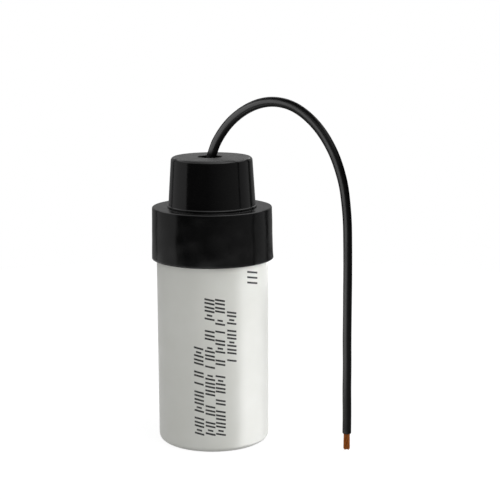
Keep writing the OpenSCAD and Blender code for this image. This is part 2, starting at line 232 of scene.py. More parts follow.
def rounded(
    corners: Sequence[Corner], closed: bool, step: float, arc_points: int = 9,
) -> np.ndarray:
    """Works out a profile with rounds at its corners and evenly split straight runs.

    A round of radius R at corner b, between unit directions u and v to its neighbours, starts
    R / tan(h) along u and ends as far along v, where 2h is the angle between u and v. Its
    centre lies R / sin(h) along the bisector.

    Args:
        corners: the profile's corners in order.
        closed: whether the last corner joins the first.
        step: longest straight run between two points, in millimetres.
        arc_points: points on each round.

    Returns:
        The profile's points, shaped (points, 2), as radius and height.
    """
    spots = np.array([(c.r, c.z) for c in corners], float)
    runs = []
    for i, corner in enumerate(corners):
        if corner.rounding == 0:
            runs.append(spots[i:i + 1])
            continue
        u, v = (spots[j % len(spots)] - spots[i] for j in (i - 1, i + 1))
        u, v = u / np.linalg.norm(u), v / np.linalg.norm(v)
        half = math.acos(float(u @ v)) / 2
        bisector = (u + v) / np.linalg.norm(u + v)
        centre = spots[i] + bisector * corner.rounding / math.sin(half)
        sweep = np.linspace(half - math.pi / 2, math.pi / 2 - half, arc_points)
        across = (v - u) / np.linalg.norm(v - u)
        runs.append(centre + corner.rounding * (
            np.outer(np.sin(sweep), across) - np.outer(np.cos(sweep), bisector)))
    line = np.concatenate(runs + ([runs[0][:1]] if closed else []))
    legs = np.linalg.norm(np.diff(line, axis=0), axis=1)
    stations = [np.linspace(0, 1, max(1, math.ceil(leg / step)), endpoint=False) for leg in legs]
    filled = np.concatenate([
        line[i] + np.outer(part, line[i + 1] - line[i]) for i, part in enumerate(stations)])
    return filled if closed else np.concatenate([filled, line[-1:]])


def turned(
    profile: np.ndarray, angles: np.ndarray, looped: bool, waver: Optional[Waver] = None,
) -> Surface:
    """Turns a profile about the Z axis.

    Point (i, j) is (r cos a, r sin a, z), with r and z those of profile point i and a the angle
    j, after the waver has moved them.

    Args:
        profile: points shaped (points, 2), as radius and height in millimetres.
        angles: angles of the profile's copies, in radians, rising within one turn.
        looped: whether the profile is a closed loop; if not, its ends close on the axis.
        waver: moves the radius and height of every point.

    Returns:
        The turned skin.
    """
    angle, r = np.meshgrid(angles, profile[:, 0])
    z = np.broadcast_to(profile[:, 1:], angle.shape)
    if waver is not None:
        r, z = waver(angle, r, z)
    return skin(np.stack([r * np.cos(angle), r * np.sin(angle), z], axis=-1), looped)


def even_angles(count: int) -> np.ndarray:
    """Gives evenly spaced angles over one turn, in radians."""
    return np.linspace(0, FULL_TURN, count, endpoint=False)


def eased(value: np.ndarray, low: float, high: float) -> np.ndarray:
    """Rises smoothly from 0 at low to 1 at high, as 3t^2 - 2t^3 with t clipped to 0 and 1."""
    t = np.clip((value - low) / (high - low), 0, 1)
    return t * t * (3 - 2 * t)


class Centreline:
    """A smooth line through given points: a natural cubic spline over the chord length.

    Its second derivatives m solve h0 m0 + 2 (h0 + h1) m1 + h1 m2 = 6 (d1 - d0) at every inner
    point, where h is the chord length and d the slope of the leg on each side.
    """

    def __init__(self, knots: np.ndarray, level: np.ndarray, step: float = 0.25) -> None:
        """Fits the spline.

        Args:
            knots: the points that the line runs through, in millimetres.
            level: a direction that the line never runs along; its rings start from it.
            step: spacing of the points at which the spline is worked out, in millimetres.
        """
        self.level = level / np.linalg.norm(level)
        chord = np.linalg.norm(np.diff(knots, axis=0), axis=1)
        slope = np.diff(knots, axis=0) / chord[:, None]
        count = len(knots)
        inner = np.arange(1, count - 1)
        system = np.eye(count)
        system[inner, inner - 1] = chord[:-1]
        system[inner, inner] = 2 * (chord[:-1] + chord[1:])
        system[inner, inner + 1] = chord[1:]
        wanted = np.zeros((count, 3))
        wanted[1:-1] = 6 * np.diff(slope, axis=0)
        curve = np.linalg.solve(system, wanted)
        at = np.concatenate([[0], np.cumsum(chord)])
        t = np.linspace(0, at[-1], math.ceil(at[-1] / step) + 1)
        leg = np.clip(np.searchsorted(at, t, side="right") - 1, 0, count - 2)
        h = chord[leg][:, None]
        after, before = (t - at[leg])[:, None], (at[leg + 1] - t)[:, None]
        self.points = (
            curve[leg] * before ** 3 / (6 * h) + curve[leg + 1] * after ** 3 / (6 * h)
            + (knots[leg] / h - curve[leg] * h / 6) * before
            + (knots[leg + 1] / h - curve[leg + 1] * h / 6) * after)
        run = np.linalg.norm(np.diff(self.points, axis=0), axis=1)
        self.run = np.concatenate([[0], np.cumsum(run)])
        ways = np.gradient(self.points, self.run, axis=0)
        self.ways = ways / np.linalg.norm(ways, axis=1)[:, None]

    @property
    def length(self) -> float:
        """Length of the line in millimetres."""
        return float(self.run[-1])

    def rings(self, run: np.ndarray, radius: np.ndarray, around: int) -> np.ndarray:
        """Carries a circle along the line.

        Ring i has its middle at C(s), where s is its run along the line, and its points at
        C + R (cos a U + sin a V), with U = level x way and V = way x U.

        Args:
            run: distance of each ring from the line's start, in millimetres.
            radius: radius of each ring, or of each ring's points, in millimetres.
            around: points in a ring.

        Returns:
            The rings' points, shaped (rings, around, 3).
        """
        middle, way = (
            np.stack([np.interp(run, self.run, part[:, k]) for k in range(3)], axis=-1)
            for part in (self.points, self.ways))
        out = np.cross(self.level, way)
        out /= np.linalg.norm(out, axis=1)[:, None]
        side = np.cross(way, out)
        turn = even_angles(around)
        spokes = (np.cos(turn)[:, None] * out[:, None] + np.sin(turn)[:, None] * side[:, None])
        return middle[:, None] + spokes * np.broadcast_to(
            np.reshape(radius, (len(run), -1, 1)), (len(run), around, 1))


# ---------------------------------------------------------------- finishes


class Relief(Enum):
    """What the fine relief of a finish looks like."""

    MOULDED = "soft unevenness with a fine grain over it"
    GRAINY = "a fine even grain"
    CRYSTAL = "small rounded lumps, as sprayed metal has"
    DRAWN = "fine lines along the piece's height"
    WOUND = "fine rings round the axis, as a roll's turns show"


class Graph:
    """A material's node tree round its principled shader, with short ways to add nodes."""

    def __init__(self, name: str) -> None:
        """Makes an empty principled material.

        Args:
            name: the material's name.
        """
        self.material = bpy.data.materials.new(name)
        self.material.use_nodes = True
        self.tree = self.material.node_tree
        self.shader = self.tree.nodes["Principled BSDF"]
        self.place = self.add("ShaderNodeTexCoord").outputs["Object"]

    @classmethod
    def over(cls, tree: bpy.types.NodeTree) -> "Graph":
        """Adds to a tree that is there already and has no principled shader, as a world's."""
        graph = cls.__new__(cls)
        graph.tree = tree
        return graph

    def add(self, kind: str, **settings: object) -> Node:
        """Adds a node of a kind and sets its properties by name."""
        node = self.tree.nodes.new(kind)
        for name, value in settings.items():
            setattr(node, name, value)
        return node

    def join(self, value: Union[Socket, float, Colour], target: Socket) -> None:
        """Links a socket to a target, or sets the target to a constant."""
        if isinstance(value, bpy.types.NodeSocket):
            self.tree.links.new(value, target)
        elif isinstance(value, tuple):
            target.default_value = (*value, 1.0)
        else:
            target.default_value = value

    def stretched(self, scale: tuple[float, float, float]) -> Socket:
        """Gives the object's coordinates multiplied along each axis."""
        mapping = self.add("ShaderNodeMapping", vector_type="POINT")
        mapping.inputs["Scale"].default_value = scale
        self.join(self.place, mapping.inputs["Vector"])
        return mapping.outputs["Vector"]

    def noise(self, size: float, detail: float = 2.0, place: Optional[Socket] = None) -> Socket:
        """Adds noise.

        Args:
            size: size of its patches in millimetres.
            detail: how many finer layers it has.
            place: coordinates, if not the object's own.

        Returns:
            The noise, about 0.3 to 0.7.
        """
        node = self.add("ShaderNodeTexNoise")
        node.inputs["Scale"].default_value = 1 / (size * MM)
        node.inputs["Detail"].default_value = detail
        self.join(place or self.place, node.inputs["Vector"])
        return node.outputs["Fac"]

    def spread(
        self, value: Socket, low: float, high: float, start: float = 0.3, end: float = 0.7,
    ) -> Socket:
        """Maps start..end to low..high, clamped."""
        node = self.add("ShaderNodeMapRange", clamp=True)
        limits = {"From Min": start, "From Max": end, "To Min": low, "To Max": high}
        for name, number in limits.items():
            node.inputs[name].default_value = number
        self.join(value, node.inputs["Value"])
        return node.outputs["Result"]

    def maths(self, kind: str, a: Union[Socket, float], b: Union[Socket, float]) -> Socket:
        """Adds a maths node of a kind over two values."""
        node = self.add("ShaderNodeMath", operation=kind)
        self.join(a, node.inputs[0])
        self.join(b, node.inputs[1])
        return node.outputs[0]

    def blend(
        self, share: Socket, first: Union[Socket, Colour], second: Union[Socket, Colour],
    ) -> Socket:
        """Blends two colours by a share from 0 to 1."""
        node = self.add("ShaderNodeMix", data_type="RGBA")
        self.join(share, node.inputs[0])
        self.join(first, node.inputs[6])
        self.join(second, node.inputs[7])
        return node.outputs[2]

    def bump(self, height: Socket, depth: float, under: Optional[Socket] = None) -> Socket:
        """Adds relief.

        Args:
            height: the relief's height, from 0 to 1.
            depth: what 1 stands for, in millimetres.
            under: the normal that it is laid over.

        Returns:
            The normal.
        """
        node = self.add("ShaderNodeBump")
        node.inputs["Distance"].default_value = depth * MM
        self.join(height, node.inputs["Height"])
        if under is not None:
            self.join(under, node.inputs["Normal"])
        return node.outputs["Normal"]

    def attribute(self, name: str) -> Socket:
        """Reads a value that the mesh carries for each of its points."""
        return self.add("ShaderNodeAttribute", attribute_name=name).outputs["Fac"]

    def feed(self, name: str, value: Union[Socket, float, Colour]) -> None:
        """Links or sets an input of the principled shader."""
        self.join(value, self.shader.inputs[name])


@dataclass(frozen=True)
class Finish:
    """A procedural finish with patches of tint and gloss and a fine relief.

    Args:
        name: the material's name.
        colour: its main colour.
        tint: the colour of its patches.
        patch: size of the patches in millimetres.
        gloss: roughness of its shiniest and dullest patches.
        relief: what its fine relief looks like.
        grain: size of the relief's grain in millimetres.
        depth: depth of the relief in millimetres.
        metal: 1 for bare metal.
        index: index of refraction.
    """

    name: str
    colour: Colour
    tint: Colour
    patch: float
    gloss: tuple[float, float]
    relief: Relief
    grain: float
    depth: float
    metal: float = 0.0
    index: float = 1.48

    def height(self, graph: Graph) -> Socket:
        """Works out the relief's height, from 0 to 1.

        Args:
            graph: the material's nodes.

        Returns:
            The height.
        """
        if self.relief is Relief.CRYSTAL:
            cells = graph.add("ShaderNodeTexVoronoi", feature="SMOOTH_F1")
            cells.inputs["Scale"].default_value = 1 / (self.grain * MM)
            graph.join(graph.place, cells.inputs["Vector"])
            return cells.outputs["Distance"]
        if self.relief is Relief.DRAWN:
            return graph.noise(self.grain, 1.0, graph.stretched((1.0, 1.0, 0.04)))
        if self.relief is Relief.WOUND:
            rings = graph.add("ShaderNodeTexWave", wave_type="RINGS", rings_direction="Z")
            rings.inputs["Scale"].default_value = 1 / (self.grain * MM * FULL_TURN)
            rings.inputs["Distortion"].default_value = 0.6
            graph.join(graph.place, rings.inputs["Vector"])
            return rings.outputs["Fac"]
        return graph.noise(self.grain, 3.0)

    def dress(self, graph: Graph) -> None:
        """Adds what this kind of finish has of its own; a plain finish has nothing more."""

    def material(self) -> bpy.types.Material:
        """Builds the finish's material.

        Returns:
            The material.
        """
        graph = Graph(self.name)
        share = graph.spread(graph.noise(self.patch), 0.0, 1.0)
        graph.feed("Base Color", graph.blend(share, self.colour, self.tint))
        graph.feed("Roughness", graph.spread(graph.noise(self.patch * 0.6, 3.0), *self.gloss))
        graph.feed("Metallic", self.metal)
        graph.feed("IOR", self.index)
        fine = graph.bump(self.height(graph), self.depth)
        if self.relief is Relief.MOULDED:
            fine = graph.bump(graph.noise(self.grain * 12, 1.0), self.depth * 6, fine)
        graph.feed("Normal", fine)
        self.dress(graph)
        return graph.material


@dataclass(frozen=True)
class CoverFinish(Finish):
    """Glossy black plastic whose flat top is satin, as a mould's sparked face leaves it.

    Args:
        satin: how much rougher the top is than the sides.
    """

    satin: float = 0.38

    def dress(self, graph: Graph) -> None:
        """Roughens the points that are marked as the top's.

        Args:
            graph: the material's nodes.
        """
        rough = graph.shader.inputs["Roughness"].links[0].from_socket
        more = graph.maths("MULTIPLY", graph.attribute("top"), self.satin)
        graph.feed("Roughness", graph.maths("ADD", rough, more))


@dataclass(frozen=True)
class LeadFinish(Finish):
    """Black insulation with a fine even grain, a darker, bruised cut end and painted shade near
    the cover's hole.

    Args:
        cut_length: how far up from the cut end it is bruised, in millimetres.
        cut_colour: colour of the bruised end.
        cut_roughness: how much rougher the bruised end is.
        hole_shade_from: how far from the cut end its reflection starts to dim, as painted shade at
            the cover's hole.
        hole_shade_by: how far from the cut end the painted shade is full.
        shine: how strongly it reflects before and after the painted shade, with 0.5 as its index
            gives.
    """

    cut_length: float = 1.6
    cut_colour: Colour = (0.002, 0.002, 0.002)
    cut_roughness: float = 0.25
    hole_shade_from: float = 143.5
    hole_shade_by: float = 145.1
    shine: tuple[float, float] = (0.5, 0.03)

    def dress(self, graph: Graph) -> None:
        """Darkens the cut end, and dims the lead's reflection near the cover's hole as painted
        shade, by the distance from that end.

        Args:
            graph: the material's nodes.
        """
        to_cut = graph.attribute("to_cut")
        near = graph.spread(to_cut, 1.0, 0.0, 0.5, self.cut_length)
        colour = graph.shader.inputs["Base Color"].links[0].from_socket
        graph.feed("Base Color", graph.blend(near, colour, self.cut_colour))
        rough = graph.shader.inputs["Roughness"].links[0].from_socket
        more = graph.maths("MULTIPLY", near, self.cut_roughness)
        graph.feed("Roughness", graph.maths("ADD", rough, more))
        # Painted shade: the lead's reflection dims near the cover's hole
        graph.feed("Specular IOR Level", graph.spread(
            to_cut, *self.shine, self.hole_shade_from, self.hole_shade_by))


@dataclass(frozen=True)
class StrandFinish(Finish):
    """Bare copper, darkened deep in the bundle as painted shade between its strands.

    Args:
        groove_shade_colour: colour of the painted shade deep in the bundle.
    """

    groove_shade_colour: Colour = (0.05, 0.015, 0.004)

    def dress(self, graph: Graph) -> None:
        """Darkens the copper as painted shade, by how far each point lies inside the bundle.

        Args:
            graph: the material's nodes.
        """
        # Painted shade: the copper darkens towards the middle of the bundle
        deep = graph.spread(graph.attribute("depth"), 0.0, 1.0, 0.15, 0.55)
        colour = graph.shader.inputs["Base Color"].links[0].from_socket
        graph.feed("Base Color", graph.blend(deep, colour, self.groove_shade_colour))


CAN_PLASTIC = Finish(
    "can_plastic_satin", (0.775, 0.78, 0.735), (0.745, 0.75, 0.70), 9.0, (0.36, 0.46),
    Relief.MOULDED, 0.5, 0.004)
COLLAR_VINYL = Finish(
    "collar_soft_black", (0.0030, 0.0032, 0.0034), (0.0042, 0.0044, 0.0046), 5.0, (0.14, 0.20),
    Relief.MOULDED, 0.8, 0.0004, index=1.44)
COVER_PLASTIC = CoverFinish(
    "cover_gloss_black", (0.0036, 0.0036, 0.0037), (0.0046, 0.0046, 0.0046), 6.0, (0.11, 0.17),
    Relief.MOULDED, 0.5, 0.0006)
LEAD_VINYL = LeadFinish(
    "lead_black_vinyl", (0.0030, 0.0030, 0.0031), (0.0042, 0.0042, 0.0042), 3.0, (0.28, 0.36),
    Relief.GRAINY, 0.25, 0.001, index=1.42)
COPPER = StrandFinish(
    "copper_strands", (0.27, 0.085, 0.018), (0.20, 0.055, 0.012), 0.8, (0.34, 0.5),
    Relief.GRAINY, 0.08, 0.002, metal=1.0)
PRINT_INK = Finish(
    "print_black", (0.006, 0.006, 0.006), (0.012, 0.012, 0.012), 1.2, (0.42, 0.55),
    Relief.GRAINY, 0.12, 0.002)
METALLISED_FILM = Finish(
    "film_metallised", (0.60, 0.63, 0.68), (0.52, 0.55, 0.61), 4.0, (0.22, 0.34),
    Relief.WOUND, 0.12, 0.01, metal=0.9)
FILM_WRAP = Finish(
    "film_wrap_pale", (0.80, 0.76, 0.58), (0.72, 0.67, 0.48), 6.0, (0.2, 0.32),
    Relief.DRAWN, 0.3, 0.004)
SPRAYED_ZINC = Finish(
    "zinc_sprayed", (0.42, 0.43, 0.45), (0.30, 0.31, 0.33), 1.2, (0.5, 0.7),
    Relief.CRYSTAL, 0.25, 0.05, metal=1.0)
TINNED_WIRE = Finish(
    "wire_tinned", (0.74, 0.74, 0.72), (0.62, 0.62, 0.60), 1.5, (0.22, 0.36),
    Relief.DRAWN, 0.15, 0.004, metal=1.0)
SOLDER = Finish(
    "solder_bright", (0.64, 0.65, 0.67), (0.52, 0.53, 0.55), 1.0, (0.16, 0.32),
    Relief.MOULDED, 0.3, 0.004, metal=1.0)
POURED_RESIN = Finish(
    "resin_poured", (0.16, 0.11, 0.07), (0.10, 0.06, 0.035), 5.0, (0.14, 0.26),
    Relief.MOULDED, 0.9, 0.003, index=1.55)
DECK_PHENOLIC = Finish(
    "deck_brown", (0.20, 0.10, 0.05), (0.13, 0.06, 0.03), 1.8, (0.36, 0.5),
    Relief.GRAINY, 0.2, 0.006)
TINNED_BRASS = Finish(
    "brass_tinned", (0.75, 0.74, 0.68), (0.66, 0.64, 0.56), 2.0, (0.2, 0.34),
    Relief.DRAWN, 0.2, 0.004, metal=1.0)
NATURAL_PLASTIC = Finish(
    "plastic_natural", (0.85, 0.84, 0.78), (0.80, 0.79, 0.72), 5.0, (0.42, 0.55),
    Relief.MOULDED, 0.5, 0.004)

INNER_FINISHES = {
    METALLISED_FILM: ("winding",),
    FILM_WRAP: ("outer_wrap",),
    SPRAYED_ZINC: ("bottom_end_spray", "top_end_spray"),
    TINNED_WIRE: ("bottom_tail_wire", "top_tail_wire"),
    SOLDER: ("bottom_tail_solder", "top_tail_solder", "lead_solder"),
    POURED_RESIN: ("potting_resin",),
    DECK_PHENOLIC: ("terminal_deck",),
    TINNED_BRASS: ("lead_terminal", "second_terminal", "terminal_rivets"),
    NATURAL_PLASTIC: ("winding_cradle", "core_tube", "fill_plug"),
}


# ---------------------------------------------------------------- pieces


@dataclass
class Can:
    """The round plastic can: a turned shell with a foot ring below and a stepped mouth above."""

    radius: float = 18.0
    height: float = 75.0
    wall: float = 1.6
    floor: float = 2.0
    base_rounding: float = 1.8
    foot_width: float = 3.0
    foot_recess: float = 0.5
    gate_radius: float = 1.2
    shoulder: float = 60.2
    neck_step: float = 0.4
    rim_chamfer: float = 0.3
    mouth_depth: float = 8.0
    deck_seat: float = 0.4
    around: int = 224

    def surface(self) -> Surface:
        """Turns the can's section, from the middle of its underside round to its inner floor."""
        foot = self.radius - self.base_rounding - self.foot_width
        neck = self.radius - self.neck_step
        inner = self.radius - self.wall
        mouth = inner + self.deck_seat
        seat = self.height - self.mouth_depth
        section = rounded([
            Corner(self.gate_radius * 0.4, self.foot_recess / 2),
            Corner(self.gate_radius, self.foot_recess / 2, 0.1),
            Corner(self.gate_radius, self.foot_recess),
            Corner(foot - self.foot_recess, self.foot_recess),
            Corner(foot, 0, 0.08),
            Corner(self.radius, 0, self.base_rounding),
            Corner(self.radius, self.shoulder, 0.1),
            Corner(neck, self.shoulder),
            Corner(neck, self.height - self.rim_chamfer),
            Corner(neck - self.rim_chamfer, self.height),
            Corner(mouth, self.height),
            Corner(mouth, seat),
            Corner(inner, seat),
            Corner(inner, self.floor, 0.6),
            Corner(self.gate_radius, self.floor),
        ], closed=False, step=2.5)
        return turned(section, even_angles(self.around), looped=False)

    def build(self) -> bpy.types.Object:
        """Makes the can and puts it in its solid's place."""
        made = self.surface().piece("can_body", CAN_PLASTIC.material(), Slot.CAN)
        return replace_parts(made, "can")


@dataclass(frozen=True)
class PrintRow:
    """A row of plain slanted bars that stands where the can carries its print.

    Args:
        arc: place of the row's middle round the can, from its front, in millimetres.
        foot: height of its first bar.
        words: how many pairs of bars each of its groups has.
        pitch: height that each pair takes up.
        gap: extra height between two groups.
        tall: length of a tall bar, across the row.
        paired: whether second bars stand between the first ones.
    """

    arc: float
    foot: float
    words: tuple[int, ...]
    pitch: float = 2.5
    gap: float = 1.5
    tall: float = 3.1
    paired: bool = True

    def bars(self) -> np.ndarray:
        """Works out where the bars stand.

        Pair n of group g starts at foot + n pitch + g gap. Its second bar stands a little under
        half a pitch higher. Every third second bar is short, and every fourth is left out.

        Returns:
            One row for each bar: its height on the can and its length.
        """
        group = np.repeat(np.arange(len(self.words)), self.words)
        start = self.foot + np.arange(len(group)) * self.pitch + group * self.gap
        second = np.arange(len(group)) + len(self.words)
        lengths = np.where(second % 3 == 0, 0.55, 1.0) * self.tall
        keep = (second % 4 != 1) & self.paired
        firsts = np.stack([start, np.full(len(group), self.tall)], axis=-1)
        seconds = np.stack([start + self.pitch * 0.46, lengths], axis=-1)[keep]
        return np.concatenate([firsts, seconds])


@dataclass
class CanPrint:
    """The can's print: rows of plain bars in thin ink that follow the can's curve."""

    radius: float = 18.0
    ink: float = 0.02
    sunk: float = 0.06
    stroke: float = 0.6
    slant: float = 0.21
    along: int = 9
    rows: tuple[PrintRow, ...] = (
        PrintRow(-4.7, 6.4, (6, 2, 3)),
        PrintRow(-1.1, 6.4, (2, 2, 3, 3, 2, 3)),
        PrintRow(2.2, 6.2, (5, 3, 1, 2, 2, 2)),
        PrintRow(5.95, 30.2, (7,), pitch=2.4),
        PrintRow(13.9, 54.3, (3,), pitch=1.7, tall=4.6, paired=False),
    )

    def bar(self, arc: float, height: float, length: float) -> Surface:
        """Works out one bar as a thin box bent round the can.

        Ring i of the box stands at arc a = arc + length (i / n - 1/2). Its four points are at
        angle a / radius, radius +- ink, and height z = height - slant (a - arc) +- stroke / 2.

        Args:
            arc: place of the bar's middle round the can, in millimetres from its front.
            height: height of its middle.
            length: its length.

        Returns:
            The bar's skin.
        """
        offset = np.linspace(-0.5, 0.5, self.along)[:, None] * length
        angle = (arc + offset) / self.radius - math.pi / 2
        radius = self.radius + np.array([self.ink, self.ink, -self.sunk, -self.sunk])
        edge = np.array([0.5, -0.5, -0.5, 0.5]) * self.stroke
        z = height - self.slant * offset + edge
        rings = np.stack([
            radius * np.cos(angle), radius * np.sin(angle), z], axis=-1)
        return skin(rings, looped=False)

    def build(self) -> bpy.types.Object:
        """Makes all the bars one piece of ink on the can."""
        bars = [
            self.bar(row.arc, height, length)
            for row in self.rows for height, length in row.bars()]
        return Surface.joined(bars).piece("can_print", PRINT_INK.material(), Slot.COVER)


@dataclass
class Collar:
    """The soft collar round the can's neck, with the slight unevenness of a soft moulding."""

    foot: float = 60.2
    top: float = 76.9
    rim: float = 75.0
    bore: float = 17.6
    radius: float = 19.25
    flare: float = 0.3
    opening: float = 13.3
    top_rounding: float = 0.4
    foot_rounding: float = 0.12
    foot_swell: float = 0.12
    unevenness: float = 0.028
    around: int = 288

    def uneven(
        self, angle: np.ndarray, r: np.ndarray, z: np.ndarray,
    ) -> tuple[np.ndarray, np.ndarray]:
        """Moves the outside a little in and out, and lifts and lowers the ledge.

        The move is half the unevenness times a sum of four sines of angle and height. It fades
        out towards the bore. The foot also swells, most of all to the right.

        Args:
            angle: angle of every point, in radians.
            r: its radius in millimetres.
            z: its height in millimetres.

        Returns:
            The new radius and height.
        """
        rise = (z - self.foot) / (self.top - self.foot)
        wave = (
            np.sin(3 * angle + 4.1 * rise + 0.4) + np.sin(7 * angle - 6.3 * rise + 1.9)
            + np.sin(13 * angle + 9.0 * rise + 2.2) + 0.8 * np.sin(5 * angle - 15.0 * rise))
        outside = eased(r, self.bore + 0.6, self.radius - 0.1)
        swell = self.foot_swell * eased(-rise, -0.14, 0.0) * eased(np.cos(angle), 0.6, 1.0)
        ledge = eased(z, self.top - 0.3, self.top) * eased(r, self.opening, self.opening + 0.8)
        lift = self.unevenness * 0.5 * (np.sin(4 * angle + 0.7) + np.sin(9 * angle + r))
        return r + outside * (self.unevenness * wave / 2 + swell), z + ledge * lift

    def build(self) -> bpy.types.Object:
        """Makes the collar and puts it in its solid's place."""
        section = rounded([
            Corner(self.bore, self.foot),
            Corner(self.radius + self.flare, self.foot, self.foot_rounding),
            Corner(self.radius, self.top, self.top_rounding),
            Corner(self.opening, self.top, 0.2),
            Corner(self.opening, self.rim),
            Corner(self.bore, self.rim),
        ], closed=True, step=0.7)
        body = turned(section, even_angles(self.around), True, self.uneven)
        made = body.piece("collar_moulding", COLLAR_VINYL.material(), Slot.COLLAR)
        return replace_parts(made, "collar")


@dataclass
class TerminalCover:
    """The snap-in cover: a tapered cap on a foot bead, with a slotted skirt inside the collar."""

    seat: float = 76.9
    top: float = 92.9
    rim: float = 75.0
    skirt_radius: float = 13.2
    skirt_wall: float = 1.4
    skirt_length: float = 1.6
    snap: float = 0.45
    play: float = 0.1
    step: float = 0.8
    taper: float = 1.0
    bead: float = 0.4
    bead_height: float = 0.6
    edge_rounding: float = 1.2
    roof: float = 1.7
    draft: float = 0.4
    hole_radius: float = 3.9
    hole_rounding: float = 0.3
    hole_offset: float = -0.6
    slots: int = 6
    slot_width: float = 2.0
    slot_top: float = 0.6
    around: int = 288

    def formed(
        self, angle: np.ndarray, r: np.ndarray, z: np.ndarray,
    ) -> tuple[np.ndarray, np.ndarray]:
        """Draws the skirt up where a slot is, and moves the hole off the axis.

        In a slot, each point below its top keeps a twentieth of its distance from that top and
        of its distance outside the skirt, so the skirt ends there in a low step. Round the hole
        the radius grows by its offset times the cosine of the angle, less and less outwards.

        Args:
            angle: angle of every point, in radians.
            r: its radius in millimetres.
            z: its height in millimetres.

        Returns:
            The new radius and height.
        """
        sector = FULL_TURN / self.slots
        off = np.abs((angle % sector) - sector / 2)
        top = self.seat - self.slot_top
        cut = (off < self.slot_angle) & (z < top)
        near = eased(-r, -(self.hole_radius + 4.0), -(self.hole_radius + self.hole_rounding))
        near = near * (z > self.top - self.roof - 0.01)
        r = np.where(
            cut & (r > self.skirt_radius), self.skirt_radius + (r - self.skirt_radius) * 0.05, r)
        return (
            r + near * self.hole_offset * np.cos(angle),
            np.where(cut, top - (top - z) * 0.05, z))

    @property
    def slot_angle(self) -> float:
        """Half of the angle that a slot takes up at the middle of the skirt's wall."""
        return math.asin(self.slot_width / 2 / (self.skirt_radius - self.skirt_wall / 2))

    def angles(self) -> np.ndarray:
        """Gives even angles, with two close ones at each side of every slot."""
        sector = FULL_TURN / self.slots
        middles = (np.arange(self.slots) + 0.5) * sector
        sides = np.array([-1.004, -0.996, 0.996, 1.004]) * self.slot_angle
        return np.union1d(even_angles(self.around), (middles[:, None] + sides).ravel())

    def build(self) -> bpy.types.Object:
        """Makes the cover and puts it in its solid's place."""
        cavity = self.skirt_radius - self.skirt_wall
        foot = self.rim - self.skirt_length
        base = self.skirt_radius + self.step
        bead_top = self.seat + self.bead_height
        section = rounded([
            Corner(cavity, foot),
            Corner(self.skirt_radius, foot),
            Corner(self.skirt_radius + self.snap, foot + self.snap),
            Corner(self.skirt_radius + self.snap, self.rim - self.play - self.snap / 2),
            Corner(self.skirt_radius, self.rim - self.play),
            Corner(self.skirt_radius, self.seat),
            Corner(base + self.bead, self.seat, 0.08),
            Corner(base + self.bead, bead_top, self.bead * 0.9),
            Corner(base, bead_top, 0.04),
            Corner(base - self.taper, self.top, self.edge_rounding),
            Corner(self.hole_radius, self.top, self.hole_rounding),
            Corner(self.hole_radius, self.top - self.roof, 0.1),
            Corner(cavity - self.draft, self.top - self.roof, 0.5),
        ], closed=True, step=0.8, arc_points=11)
        angles = self.angles()
        body = turned(section, angles, True, self.formed)
        top = np.repeat(eased(section[:, 1], self.top - 0.15, self.top - 0.02), len(angles))
        made = body.piece("cover_moulding", COVER_PLASTIC.material(), Slot.COVER, {"top": top})
        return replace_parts(made, "terminal_cover")


